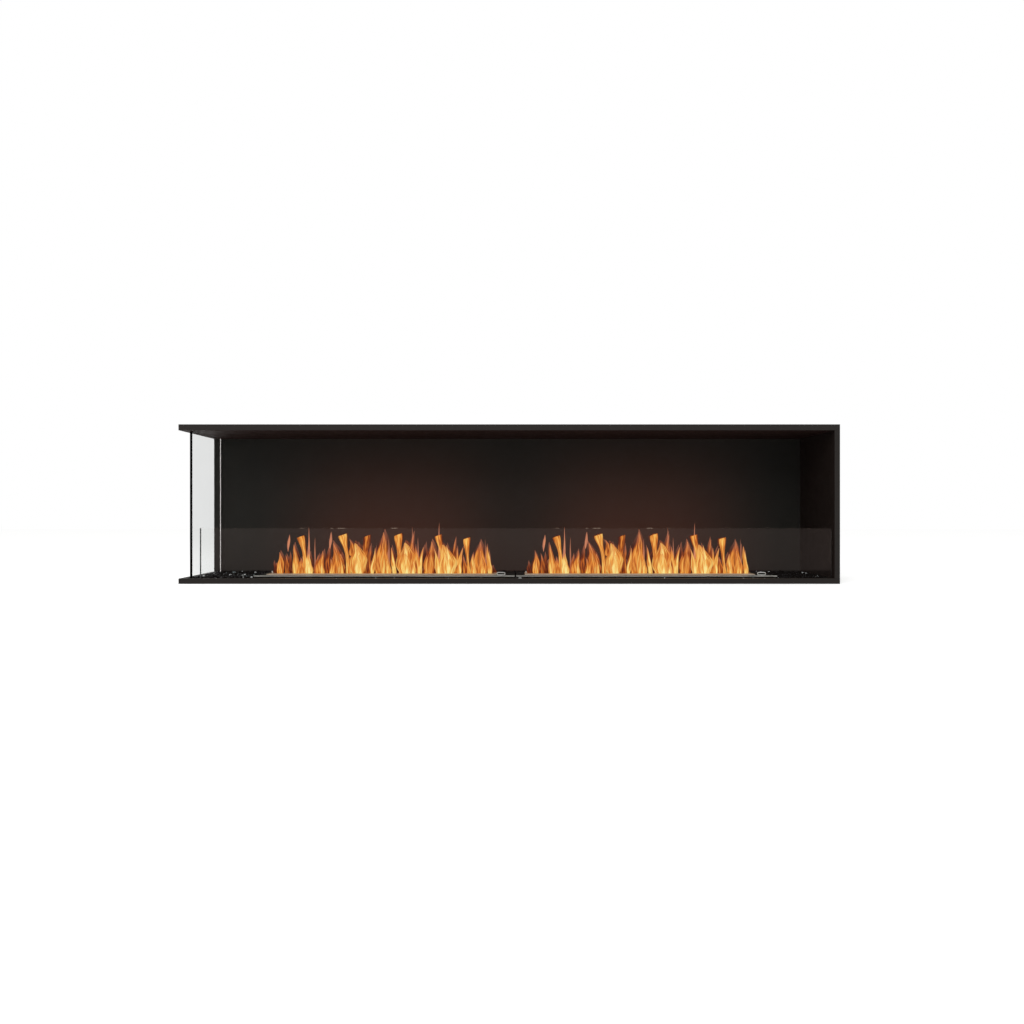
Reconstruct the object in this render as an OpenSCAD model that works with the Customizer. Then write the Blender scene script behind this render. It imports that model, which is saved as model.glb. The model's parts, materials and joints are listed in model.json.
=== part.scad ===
// Bioethanol fireplace insert, open at the front and closed by a tall pane at the left.
// Millimetres, +Z up, front at -Y. The origin is the middle of the base's underside.

/* [Casing] */
// Overall width
body_w = 2222; // [2080:1:2800]
// Overall depth, from the front lip to the rear skin
body_d = 365; // [340:1:520]
// Overall height
body_h = 536; // [360:1:900]
// Height of the base slab, up to the top of its lips
base_h = 18; // [15:0.5:20]
// Thickness of the ceiling slab
top_h = 20; // [18:0.5:60]
// Thickness of the right wall
side_t = 18; // [14:0.5:60]
// Thickness of the back wall
back_t = 20; // [18:0.5:60]
// Width of the folded lip along the front of the base
lip_w = 14; // [12:0.5:20]
// Width of the folded lip along the left of the base
left_lip_w = 21; // [12:0.5:24]
// Thickness of the folded steel sheet
sheet_t = 1.5; // [1:0.1:2]
// Wall of the square tubes inside the slabs and walls
tube_t = 1.5; // [1:0.1:2]
// Width of the rear left post, from the outer edge to the back liner
post_w = 28; // [24:1:60]
// Depth of the ceiling's front rail
top_rail_d = 20; // [16:1:40]
// Depth of the front right post
corner_post_d = 15; // [12:1:40]
// Gap between an insulation board and what surrounds it
board_gap = 0.5; // [0.2:0.1:2]

/* [Panes] */
// Thickness of both panes
glass_t = 6; // [4:1:7]
// Distance of the side pane's front edge behind the front lip
side_glass_setback = 43; // [30:1:80]
// Depth to which the side pane reaches into the ceiling
side_glass_rise = 9; // [5:0.5:12]
// Wall of the side pane's channels
channel_t = 1; // [0.8:0.1:1.5]
// Gap between the side pane and each wall of its channels
channel_gap = 0.5; // [0.3:0.1:1]
// Free height above the side pane in its ceiling channel
channel_head = 4; // [2:0.5:5]
// Thickness of the seal behind the side pane
seal_t = 2.5; // [1.5:0.5:5]
// Height of the low screen's glass
screen_h = 181; // [120:1:250]
// Gap from the side pane to the low screen's left end
screen_gap_left = 37.5; // [10:0.5:80]
// Gap from the low screen's right end to the right wall
screen_gap_right = 3; // [2:0.5:40]
// Gap between the low screen and the lip or the rail that hold its foot
screen_foot_gap = 1.25; // [0.5:0.25:2]
// Thickness of the rail behind the low screen's foot
screen_rail_t = 1.5; // [1:0.1:3]
// Height of the setting blocks under the panes
block_h = 4; // [3:0.5:6]
// Length of one setting block
block_len = 80; // [40:1:150]
// Number of setting blocks under the low screen
screen_blocks_n = 5; // [2:1:9]
// Number of setting blocks under the side pane
side_blocks_n = 3; // [2:1:3]

/* [Burners] */
// Gap between the two burners
burner_gap = 6; // [2:0.5:60]
// Sideways place of the middle between the burners
pair_x = 21; // [-60:1:60]
// Distance of the burners' front edge behind the front lip
burner_setback = 60; // [50:1:80]
// Width of one burner's top plate
plate_w = 894; // [600:1:1040]
// Depth of the top plate
plate_d = 210; // [190:1:240]
// Thickness of the top plate
plate_t = 1.5; // [1:0.1:3]
// Overhang of the top plate beyond the fuel tray, on each side
plate_overhang = 7; // [5:0.5:10]
// Height of the fuel tray
tray_h = 18; // [17:0.5:30]
// Wall of the fuel tray
tray_t = 1.5; // [1:0.1:2]
// Thickness of the fibre pad
pad_h = 6; // [3:0.5:7]
// Gap between the fibre pad and the tray's walls
pad_gap = 2; // [1:0.5:5]
// Gap between the tray and its fence
fence_gap = 1.5; // [1:0.25:2]
// Thickness of the fence
fence_t = 1.5; // [1:0.1:2]
// Gap between the fence and the top plate
fence_head = 1; // [0.5:0.25:3]

/* [Slot] */
// Depth of the flame slot
slot_d = 36; // [26:1:44]
// Width of the steel frame in front of the slot
frame_front = 37; // [15:1:45]
// Width of the steel frame behind the slot
frame_rear = 25; // [15:1:45]
// Width of the steel frame at each end of the slot
frame_end = 10; // [9:1:14]
// Thickness of the steel frame
frame_t = 3; // [1:0.1:3]
// Distance of the steel frame from the top plate's left end
frame_inset = 30; // [21:1:32]
// Distance of the steel frame from the top plate's right end
frame_outset = 63; // [46:1:90]
// Distance of the steel frame behind the top plate's front edge
frame_setback = 47; // [45:1:55]
// Wall of the collar that lines the slot
collar_t = 1; // [0.8:0.1:1.5]
// Gap between the collar and the top plate
collar_gap = 0.3; // [0.2:0.1:0.5]
// Width of the satin trim along the top plate's front edge
trim_w = 10; // [6:0.5:16]
// Thickness of the satin trim
trim_t = 1; // [0.6:0.1:1.4]
// Height of the satin trim's front face
trim_h = 4.5; // [3:0.5:5]
// Diameter of the stud at the slot's left end
stud_d = 5; // [4:0.5:7]
// Height of the stud above the steel frame
stud_h = 6.5; // [5:0.5:12]
// Height of the stud's head
stud_head_h = 2; // [1:0.5:3]
// Width by which the stud's head stands out round its shank
stud_head_lip = 1; // [0.5:0.25:1]

/* [Shutter] */
// Thickness of the shutter
shutter_t = 1.5; // [1:0.1:2]
// Overlap of the closed shutter in front of and behind the slot
shutter_lap = 4; // [3:0.5:6]
// Overlap of the shutter past the slot's left end
shutter_end_lap = 12; // [10:0.5:14]
// Free edge left between the open shutter and the slot
shutter_clear = 1; // [0.5:0.5:2]
// Running gap above and below the shutter
shutter_gap = 0.3; // [0.25:0.05:0.5]
// Running gap between the shutter's ends and its guides
guide_end_gap = 2; // [1:0.5:2.5]
// Thickness of the guides
guide_t = 1.5; // [1:0.1:2]
// Width of the guides' shelf under the shutter
guide_shelf = 7.5; // [5:0.5:8]
// Extra length of a guide at each end of the shutter's travel
guide_spare = 3; // [1:0.5:5]
// Width of the upright pull ring
pull_w = 30; // [20:1:36]
// Height of the upright pull ring
pull_h = 11; // [8:0.5:20]
// Thickness of the pull ring's wire
pull_wire_d = 2.5; // [1.5:0.25:3.5]
// Gap between the pull ring and the steel frame's end
pull_side_gap = 1.5; // [1:0.25:4]
// Gap between the pull ring and the top plate
pull_foot_gap = 0.6; // [0.4:0.1:2]
// Distance of the pull ring behind the top plate's front edge, shutter open
pull_setback = 22.5; // [21:0.5:24]
// Diameter of the pull ring's stem
stem_d = 4; // [3:0.5:5]
// Gap round the stem in the top plate's guide slot
stem_gap = 0.5; // [0.3:0.1:1]
// Gap round the stem in the shutter
stem_seat_gap = 0.1; // [0.05:0.05:0.2]
// Width of the rivet head round the stem, under the shutter
rivet_lip = 1.2; // [0.5:0.1:1.5]
// Height of the rivet head under the shutter
rivet_h = 1; // [0.5:0.1:1.5]
// Width of the shutter's tab that carries the pull ring
tab_w = 21; // [18:1:24]
// Length of the tab in front of the pull ring
tab_nose = 6; // [4:0.5:8]

/* [Crushed glass] */
// Mean height of the crushed glass above the floor pan
bed_h = 16; // [12:0.5:16.5]
// Height of its grains above and below the mean level
bed_rough = 2.5; // [1:0.25:3]
// Width of one grain
grain = 12; // [10:1:20]
// Gap between the crushed glass and what surrounds it
bed_gap = 0.5; // [0.3:0.1:2]
// Gap between the crushed glass and the lift-out burners
bed_burner_gap = 1.5; // [1:0.25:4]

/* [Fixings] */
// Radius of the holes for the fixing bolts
fixing_r = 4.2; // [3:0.1:5.5]
// Sideways distance between the rear fixing holes
rear_fixing_x = 1800; // [1200:1:2000]
// Distance front to back between the right fixing holes
side_fixing_y = 250; // [160:1:280]
// Upright distance between the two rows of fixing holes
fixing_z = 400; // [240:1:440]
// Size across the flats of the weld nuts
nut_flats = 13; // [12:0.5:18]
// Height of the weld nuts
nut_h = 6.5; // [5:0.5:8]
// Radius of the pockets round the weld nuts in the boards
nut_pocket_r = 11; // [10.5:0.5:16]
// Radius of the skin screws' heads
screw_head_r = 3.6; // [3:0.1:4]
// Radius of the skin screws' shanks
screw_r = 1.9; // [1.5:0.1:2.5]
// Length of the skin screws
screw_len = 9; // [6:0.5:12]
// Gap round the skin screws in their holes
screw_gap = 0.15; // [0.1:0.05:0.3]
// Number of screws along each long edge of the rear skin
rear_screws_n = 7; // [3:1:13]
// Number of screws along each upright edge of the right skin
side_screws_n = 4; // [2:1:7]
// Distance of the outer screws from the ends of their row
screw_end = 60; // [30:1:120]

/* [Hidden] */
$fn = 48;
// Length by which a cut runs past the faces it opens
past = 1;

coat = [0.17, 0.16, 0.16];
coat_inside = [0.13, 0.12, 0.12];
steel = [0.72, 0.69, 0.65];
bare_tube = [0.45, 0.46, 0.48];
board = [0.86, 0.84, 0.78];
pane = [0.75, 0.82, 0.82, 0.45];
silicone = [0.12, 0.12, 0.13];
black_glass = [0.10, 0.12, 0.11];
fibre = [0.93, 0.92, 0.88];

// Outer faces of the casing
x_left = -body_w / 2;
x_right = body_w / 2;
y_front = -body_d / 2;
y_rear = body_d / 2;
// Faces just inside the outer sheets
x_left_in = x_left + sheet_t;
x_right_in = x_right - sheet_t;
y_front_in = y_front + sheet_t;
y_rear_in = y_rear - sheet_t;
z_roof_in = body_h - sheet_t;
// Faces that bound the fire's room
x_lip = x_left + left_lip_w;
x_wall = x_right - side_t;
y_lip = y_front + lip_w;
y_wall = y_rear - back_t;
z_ceiling = body_h - top_h;
z_pan = 2 * sheet_t;
// Faces behind the lips' inner legs and behind the liners, where the tubes lie
x_lip_rail = x_lip - sheet_t;
x_wall_rail = x_wall + sheet_t;
y_lip_rail = y_lip - sheet_t;
y_wall_rail = y_wall + sheet_t;
z_ceiling_rail = z_ceiling + sheet_t;
z_rail_top = base_h - sheet_t;
x_post = x_left + post_w;
z_mid = body_h / 2;

// Side pane and its channels
channel_w = glass_t + 2 * (channel_gap + channel_t);
x_channel = x_lip;
x_channel_in = x_channel + channel_w;
x_side_glass = x_channel + channel_t + channel_gap;
y_side_glass = y_front + side_glass_setback;
y_seal = y_wall - seal_t;
z_glass_foot = z_pan + block_h;
z_channel_floor = z_pan + channel_t;
z_side_glass_top = z_ceiling + side_glass_rise;
z_channel_roof = z_side_glass_top + channel_head;

// Low screen
y_screen = y_lip + screen_foot_gap;
y_screen_rail = y_screen + glass_t + screen_foot_gap;
y_screen_rail_in = y_screen_rail + screen_rail_t;
x_screen_left = x_side_glass + glass_t + screen_gap_left;
x_screen_right = x_wall - screen_gap_right;

// Burners, with x measured from the middle of the plate
burner_pitch = plate_w + burner_gap;
x_plates_left = pair_x - burner_pitch / 2 - plate_w / 2;
x_plates_right = pair_x + burner_pitch / 2 + plate_w / 2;
y_plate = y_front + burner_setback;
y_plate_rear = y_plate + plate_d;
z_plate = z_pan + tray_h;
z_plate_top = z_plate + plate_t;
x_tray = plate_w / 2 - plate_overhang;
y_tray = y_plate + plate_overhang;
y_tray_rear = y_plate_rear - plate_overhang;
x_frame = frame_inset - plate_w / 2;
x_frame_right = plate_w / 2 - frame_outset;
x_slot = x_frame + frame_end;
x_slot_right = x_frame_right - frame_end;
y_frame = y_plate + frame_setback;
y_slot = y_frame + frame_front;
y_slot_rear = y_slot + slot_d;
y_frame_rear = y_slot_rear + frame_rear;
z_frame_top = z_plate_top + frame_t;

// Shutter, drawn open, in front of the slot; it closes towards the back by its travel
shutter_travel = slot_d + shutter_lap + shutter_clear;
y_shutter = y_slot - shutter_lap - shutter_travel;
y_shutter_rear = y_shutter + slot_d + 2 * shutter_lap;
z_shutter_top = z_plate - shutter_gap;
z_shutter = z_shutter_top - shutter_t;
x_shutter = x_slot - shutter_end_lap;
x_pull = x_frame_right + pull_side_gap + pull_w / 2;
x_shutter_right = x_pull + tab_w / 2;
y_pull = y_plate + pull_setback;
z_shelf_top = z_shutter - shutter_gap;
z_shelf = z_shelf_top - guide_t;

// Share of a grain by which the crushed glass strays from its even rows
grain_stray = 0.2;

module slab(x0, x1, y0, y1, z0, z1) {
    translate([x0, y0, z0])
        cube([x1 - x0, y1 - y0, z1 - z0]);
}

// Tubes with their bore along one axis
module tube_x(x0, x1, y0, y1, z0, z1) {
    difference() {
        slab(x0, x1, y0, y1, z0, z1);
        slab(x0 - past, x1 + past, y0 + tube_t, y1 - tube_t, z0 + tube_t, z1 - tube_t);
    }
}

module tube_y(x0, x1, y0, y1, z0, z1) {
    difference() {
        slab(x0, x1, y0, y1, z0, z1);
        slab(x0 + tube_t, x1 - tube_t, y0 - past, y1 + past, z0 + tube_t, z1 - tube_t);
    }
}

module tube_z(x0, x1, y0, y1, z0, z1) {
    difference() {
        slab(x0, x1, y0, y1, z0, z1);
        slab(x0 + tube_t, x1 - tube_t, y0 + tube_t, y1 - tube_t, z0 - past, z1 + past);
    }
}

// Turns a shape drawn along +Z so that it points into the casing from its rear or its right face
module from_rear(x, z, y = y_rear) {
    translate([x, y, z])
        rotate([90, 0, 0])
            children();
}

module from_right(y, z, x = x_right) {
    translate([x, y, z])
        rotate([0, -90, 0])
            children();
}

// Places of the fixing holes and of the skin screws
module at_rear_fixings(y = y_rear) {
    for (sx = [-1, 1], sz = [-1, 1])
        from_rear(sx * rear_fixing_x / 2, z_mid + sz * fixing_z / 2, y)
            children();
}

module at_side_fixings(x = x_right) {
    for (sy = [-1, 1], sz = [-1, 1])
        from_right(sy * side_fixing_y / 2, z_mid + sz * fixing_z / 2, x)
            children();
}

function row_at(low, high, n, i) = low + (high - low) * i / (n - 1);

module at_rear_screws() {
    rows = [(sheet_t + z_rail_top) / 2, (z_ceiling_rail + z_roof_in) / 2];
    for (z = rows, i = [0 : rear_screws_n - 1])
        from_rear(row_at(x_left_in + screw_end, x_right_in - screw_end, rear_screws_n, i), z)
            children();
}

module at_side_screws() {
    columns = [y_front_in + corner_post_d / 2, (y_wall_rail + y_rear_in) / 2];
    for (y = columns, i = [0 : side_screws_n - 1])
        from_right(y, row_at(z_rail_top + screw_end, z_ceiling - screw_end, side_screws_n, i))
            children();
}

// Countersunk screw and the hole that it needs, pointing along +Z from the skin's face
module skin_screw(grow = 0) {
    head_h = screw_head_r - screw_r;
    cylinder(h = head_h, r1 = screw_head_r + grow, r2 = screw_r + grow);
    cylinder(h = screw_len + grow, r = screw_r + grow);
}

module skin_screw_hole() {
    skin_screw(screw_gap);
    translate([0, 0, -past])
        cylinder(h = past, r = screw_head_r + screw_gap);
}

// Base

module base_plate() {
    color(coat)
        slab(x_left, x_right, y_front, y_rear, 0, sheet_t);
}

module floor_pan() {
    color(coat_inside)
        slab(x_lip_rail, x_wall_rail, y_lip_rail, y_wall_rail, sheet_t, z_pan);
}

module front_lip() {
    color(coat) {
        slab(x_left, x_right_in, y_front, y_front_in, sheet_t, z_rail_top);
        slab(x_left, x_right_in, y_front, y_lip, z_rail_top, base_h);
        slab(x_lip_rail, x_wall, y_lip_rail, y_lip, z_pan, z_rail_top);
    }
}

module left_lip() {
    color(coat) {
        slab(x_left, x_left_in, y_front_in, y_rear_in, sheet_t, z_rail_top);
        slab(x_left, x_lip, y_lip, y_wall, z_rail_top, base_h);
        slab(x_lip_rail, x_lip, y_lip, y_wall_rail, z_pan, z_rail_top);
    }
}

module base_rail_front() {
    color(bare_tube)
        tube_x(x_left_in, x_right_in, y_front_in, y_lip_rail, sheet_t, z_rail_top);
}

module base_rail_left() {
    color(bare_tube)
        tube_y(x_left_in, x_lip_rail, y_lip_rail, y_wall_rail, sheet_t, z_rail_top);
}

module base_rail_right() {
    color(bare_tube)
        tube_y(x_wall_rail, x_right_in, y_lip_rail, y_wall_rail, sheet_t, z_rail_top);
}

module base_rail_rear() {
    color(bare_tube)
        difference() {
            tube_x(x_left_in, x_right_in, y_wall_rail, y_rear_in, sheet_t, z_rail_top);
            at_rear_screws()
                skin_screw_hole();
        }
}

// Back wall

module back_outer_skin() {
    color(coat)
        difference() {
            union() {
                slab(x_left, x_right_in, y_rear_in, y_rear, sheet_t, z_roof_in);
                slab(x_left, x_left_in, y_wall, y_rear_in, z_rail_top, z_ceiling);
            }
            at_rear_fixings()
                translate([0, 0, -past])
                    cylinder(h = sheet_t + 2 * past, r = fixing_r);
            at_rear_screws()
                skin_screw_hole();
        }
}

module back_insulation() {
    color(board)
        difference() {
            slab(
                x_post + board_gap, x_wall_rail - board_gap,
                y_wall_rail + board_gap, y_rear_in - board_gap,
                z_rail_top + board_gap, z_ceiling - board_gap
            );
            at_rear_fixings()
                cylinder(h = back_t, r = nut_pocket_r);
        }
}

module back_liner() {
    color(coat_inside)
        slab(x_post, x_wall_rail, y_wall, y_wall_rail, z_pan, z_ceiling);
}

module rear_left_post() {
    color(coat_inside)
        tube_z(x_left_in, x_post, y_wall, y_rear_in, z_rail_top, z_ceiling);
}

module rear_right_post() {
    color(bare_tube)
        difference() {
            tube_z(x_wall_rail, x_right_in, y_wall_rail, y_rear_in, z_rail_top, z_ceiling);
            at_side_screws()
                skin_screw_hole();
        }
}

// Right wall

module front_right_post() {
    color(bare_tube)
        difference() {
            tube_z(x_wall_rail, x_right_in, y_front_in, y_front_in + corner_post_d, base_h, z_ceiling);
            at_side_screws()
                skin_screw_hole();
        }
}

module right_outer_skin() {
    color(coat)
        difference() {
            union() {
                slab(x_right_in, x_right, y_front, y_rear, sheet_t, z_roof_in);
                slab(x_wall, x_right_in, y_front, y_front_in, base_h, z_ceiling);
            }
            at_side_fixings()
                translate([0, 0, -past])
                    cylinder(h = sheet_t + 2 * past, r = fixing_r);
            at_side_screws()
                skin_screw_hole();
        }
}

module right_insulation() {
    color(board)
        difference() {
            slab(
                x_wall_rail + board_gap, x_right_in - board_gap,
                y_front_in + corner_post_d + board_gap, y_wall_rail - board_gap,
                z_rail_top + board_gap, z_ceiling - board_gap
            );
            at_side_fixings()
                cylinder(h = side_t, r = nut_pocket_r);
        }
}

module right_liner() {
    color(coat_inside) {
        slab(x_wall, x_wall_rail, y_lip, y_wall, z_pan, z_ceiling);
        slab(x_wall, x_wall_rail, y_front_in, y_lip, base_h, z_ceiling);
    }
}

// Ceiling

module top_outer_skin() {
    color(coat) {
        slab(x_left, x_right, y_front, y_rear, z_roof_in, body_h);
        slab(x_left, x_right_in, y_front, y_front_in, z_ceiling, z_roof_in);
        slab(x_left, x_left_in, y_front_in, y_rear_in, z_ceiling, z_roof_in);
    }
}

module top_liner() {
    color(coat_inside)
        difference() {
            slab(x_left_in, x_right_in, y_front_in, y_rear_in, z_ceiling, z_ceiling_rail);
            slab(x_channel, x_channel_in, y_side_glass, y_wall, z_ceiling - past, z_ceiling_rail + past);
        }
}

module top_insulation() {
    color(board)
        slab(
            x_channel_in + board_gap, x_right_in - board_gap,
            y_front_in + top_rail_d + board_gap, y_wall - board_gap,
            z_ceiling_rail + board_gap, z_roof_in - board_gap
        );
}

module top_rail_front() {
    color(bare_tube)
        tube_x(x_left_in, x_right_in, y_front_in, y_front_in + top_rail_d, z_ceiling_rail, z_roof_in);
}

module top_rail_rear() {
    color(bare_tube)
        difference() {
            tube_x(x_left_in, x_right_in, y_wall, y_rear_in, z_ceiling_rail, z_roof_in);
            at_rear_screws()
                skin_screw_hole();
        }
}

module top_rail_left() {
    color(bare_tube)
        tube_y(x_left_in, x_lip, y_front_in + top_rail_d, y_wall, z_ceiling_rail, z_roof_in);
}

// Side pane

module side_glass() {
    color(pane)
        slab(x_side_glass, x_side_glass + glass_t, y_side_glass, y_seal, z_glass_foot, z_side_glass_top);
}

// Open channel along Y, its mouth up
module channel_y(y0, y1, z0, z1) {
    difference() {
        slab(x_channel, x_channel_in, y0, y1, z0, z1);
        slab(x_channel + channel_t, x_channel_in - channel_t, y0 - past, y1 + past, z0 + channel_t, z1 + past);
    }
}

module side_channel_bottom() {
    color(coat)
        channel_y(y_side_glass, y_wall, z_pan, z_rail_top);
}

module side_channel_top() {
    color(coat)
        mirror([0, 0, 1])
            channel_y(y_side_glass, y_wall, -z_channel_roof - channel_t, -z_ceiling);
}

module side_glass_blocks() {
    color(silicone)
        for (i = [0 : side_blocks_n - 1]) {
            y = row_at(y_side_glass, y_seal - block_len, side_blocks_n, i);
            slab(x_side_glass, x_side_glass + glass_t, y, y + block_len, z_channel_floor, z_glass_foot);
        }
}

module side_glass_seal() {
    color(silicone)
        slab(x_side_glass, x_side_glass + glass_t, y_seal, y_wall, z_channel_floor, z_ceiling);
}

// Low screen

module front_screen() {
    color(pane)
        slab(x_screen_left, x_screen_right, y_screen, y_screen + glass_t, z_glass_foot, z_glass_foot + screen_h);
}

module screen_rail() {
    color(coat_inside)
        slab(x_screen_left, x_wall, y_screen_rail, y_screen_rail_in, z_pan, z_rail_top);
}

module screen_blocks() {
    color(silicone)
        for (i = [0 : screen_blocks_n - 1]) {
            x = row_at(x_screen_left, x_screen_right - block_len, screen_blocks_n, i);
            slab(x, x + block_len, y_screen, y_screen + glass_t, z_pan, z_glass_foot);
        }
}

// Crushed glass: a block whose upper face is a field of random grains inside a low, level rim
module grains(x0, x1, y0, y1, seed) {
    nx = max(2, round((x1 - x0) / grain));
    ny = max(2, round((y1 - y0) / grain));
    row = nx + 1;
    count = row * (ny + 1);
    dx = (x1 - x0) / nx;
    dy = (y1 - y0) / ny;
    lift = rands(-bed_rough, bed_rough, count, seed);
    shift_x = rands(-grain_stray, grain_stray, count, seed + 1);
    shift_y = rands(-grain_stray, grain_stray, count, seed + 2);
    top = [
        for (j = [0 : ny], i = [0 : nx])
            let (k = j * row + i, inner_x = i > 0 && i < nx, inner_y = j > 0 && j < ny)
            [
                x0 + dx * (i + (inner_x ? shift_x[k] : 0)),
                y0 + dy * (j + (inner_y ? shift_y[k] : 0)),
                z_pan + bed_h + (inner_x && inner_y ? lift[k] : -bed_rough)
            ]
    ];
    foot = [for (p = [[x0, y0], [x1, y0], [x1, y1], [x0, y1]]) [p[0], p[1], z_pan]];
    upper = [
        for (j = [0 : ny - 1], i = [0 : nx - 1], half = [0, 1])
            let (k = j * row + i)
            half == 0 ? [k, k + row, k + row + 1] : [k, k + row + 1, k + 1]
    ];
    front = [for (i = [0 : nx]) i];
    rear = [for (i = [nx : -1 : 0]) ny * row + i];
    left = [for (j = [ny : -1 : 0]) j * row];
    right = [for (j = [0 : ny]) j * row + nx];
    sides = [
        concat([count], front, [count + 1]),
        concat([count + 1], right, [count + 2]),
        concat([count + 2], rear, [count + 3]),
        concat([count + 3], left, [count])
    ];
    polyhedron(concat(top, foot), concat(upper, sides, [[count, count + 1, count + 2, count + 3]]));
}

module glass_bed_front() {
    color(black_glass)
        grains(
            x_channel_in + bed_gap, x_wall - bed_gap,
            y_screen_rail_in + bed_gap, y_plate - trim_t - bed_burner_gap, 11
        );
}

module glass_bed_rear() {
    color(black_glass)
        grains(
            x_channel_in + bed_gap, x_wall - bed_gap,
            y_plate_rear + bed_burner_gap, y_wall - bed_gap, 22
        );
}

module glass_bed_left() {
    color(black_glass) {
        grains(
            x_channel_in + bed_gap, x_plates_left - bed_burner_gap,
            y_plate - trim_t - bed_burner_gap + bed_gap, y_plate_rear + bed_burner_gap - bed_gap, 33
        );
        grains(
            x_lip + bed_gap, x_screen_left - bed_gap,
            y_lip + bed_gap, y_screen_rail_in, 44
        );
    }
}

module glass_bed_right() {
    color(black_glass)
        grains(
            x_plates_right + bed_burner_gap, x_wall - bed_gap,
            y_plate - trim_t - bed_burner_gap + bed_gap, y_plate_rear + bed_burner_gap - bed_gap, 55
        );
}

// Burners; side is -1 for the left one and 1 for the right one

module at_burner(side) {
    translate([pair_x + side * burner_pitch / 2, 0, 0])
        children();
}

// Four upright strips that butt at the corners without touching
module burner_fence(side) {
    x_in = x_tray + fence_gap;
    x_out = x_in + fence_t;
    y_in = y_tray - fence_gap;
    y_in_rear = y_tray_rear + fence_gap;
    z_top = z_plate - fence_head;
    color(coat_inside)
        at_burner(side) {
            slab(-x_out, x_out, y_in - fence_t, y_in, z_pan, z_top);
            slab(-x_out, x_out, y_in_rear, y_in_rear + fence_t, z_pan, z_top);
            for (edge = [-x_out, x_in])
                slab(edge, edge + fence_t, y_in + bed_gap, y_in_rear - bed_gap, z_pan, z_top);
        }
}

module burner_tray(side) {
    color(steel)
        at_burner(side)
            difference() {
                slab(-x_tray, x_tray, y_tray, y_tray_rear, z_pan, z_plate);
                slab(
                    -x_tray + tray_t, x_tray - tray_t,
                    y_tray + tray_t, y_tray_rear - tray_t,
                    z_pan + tray_t, z_plate + past
                );
            }
}

module fibre_pad(side) {
    wall = tray_t + pad_gap;
    color(fibre)
        at_burner(side)
            slab(
                -x_tray + wall, x_tray - wall,
                y_tray + wall, y_tray_rear - wall,
                z_pan + tray_t, z_pan + tray_t + pad_h
            );
}

// Long hole in which the stem runs from the open to the closed place
module stem_slot() {
    r = stem_d / 2 + stem_gap;
    translate([x_pull, y_pull, z_plate - past]) {
        cylinder(h = plate_t + 2 * past, r = r);
        translate([0, shutter_travel, 0])
            cylinder(h = plate_t + 2 * past, r = r);
        translate([-r, 0, 0])
            cube([2 * r, shutter_travel, plate_t + 2 * past]);
    }
}

module burner_plate(side) {
    rim = collar_t + collar_gap;
    color(coat)
        at_burner(side)
            difference() {
                slab(-plate_w / 2, plate_w / 2, y_plate, y_plate_rear, z_plate, z_plate_top);
                slab(
                    x_slot - rim, x_slot_right + rim,
                    y_slot - rim, y_slot_rear + rim,
                    z_plate - past, z_plate_top + past
                );
                stem_slot();
            }
}

module plate_trim(side) {
    color(steel)
        at_burner(side) {
            slab(-plate_w / 2, plate_w / 2, y_plate - trim_t, y_plate + trim_w, z_plate_top, z_plate_top + trim_t);
            slab(
                -plate_w / 2, plate_w / 2,
                y_plate - trim_t, y_plate,
                z_plate_top + trim_t - trim_h, z_plate_top
            );
        }
}

module slot_frame(side) {
    color(steel)
        at_burner(side)
            difference() {
                union() {
                    slab(x_frame, x_frame_right, y_frame, y_frame_rear, z_plate_top, z_frame_top);
                    slab(
                        x_slot - collar_t, x_slot_right + collar_t,
                        y_slot - collar_t, y_slot_rear + collar_t,
                        z_plate, z_plate_top
                    );
                }
                slab(x_slot, x_slot_right, y_slot, y_slot_rear, z_plate - past, z_frame_top + past);
            }
}

module lift_stud(side) {
    r = stud_d / 2 - stud_head_lip;
    color(steel)
        at_burner(side)
            translate([x_frame + frame_end / 2, (y_slot + y_slot_rear) / 2, z_frame_top])
                rotate_extrude()
                    polygon([
                        [0, 0],
                        [r + stud_head_lip, 0],
                        [r, stud_head_lip],
                        [r, stud_h - stud_head_h],
                        [r + stud_head_lip, stud_h - stud_head_h],
                        [r + stud_head_lip, stud_h - stud_head_lip / 2],
                        [r + stud_head_lip / 2, stud_h],
                        [0, stud_h]
                    ]);
}

// One angle under each end of the shutter; the right one also carries the tab
module shutter_guides(side) {
    y_end = y_shutter_rear + shutter_travel + guide_spare;
    x_web = x_shutter - guide_end_gap;
    x_web_right = x_shutter_right + guide_end_gap;
    y_left = y_shutter - guide_spare;
    y_right = y_pull - tab_nose - guide_spare;
    color(steel)
        at_burner(side) {
            slab(x_web - guide_t, x_web, y_left, y_end, z_shelf, z_plate);
            slab(x_web - guide_t, x_web + guide_shelf, y_left, y_end, z_shelf, z_shelf_top);
            slab(x_web_right, x_web_right + guide_t, y_right, y_end, z_shelf, z_plate);
            slab(x_web_right - guide_shelf, x_web_right + guide_t, y_right, y_end, z_shelf, z_shelf_top);
        }
}

module shutter(side) {
    color(steel)
        at_burner(side)
            difference() {
                union() {
                    slab(x_shutter, x_shutter_right, y_shutter, y_shutter_rear, z_shutter, z_shutter_top);
                    slab(
                        x_shutter_right - tab_w, x_shutter_right,
                        y_pull - tab_nose, y_shutter,
                        z_shutter, z_shutter_top
                    );
                }
                translate([x_pull, y_pull, z_shutter - past])
                    cylinder(h = shutter_t + 2 * past, r = stem_d / 2 + stem_seat_gap);
            }
}

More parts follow.
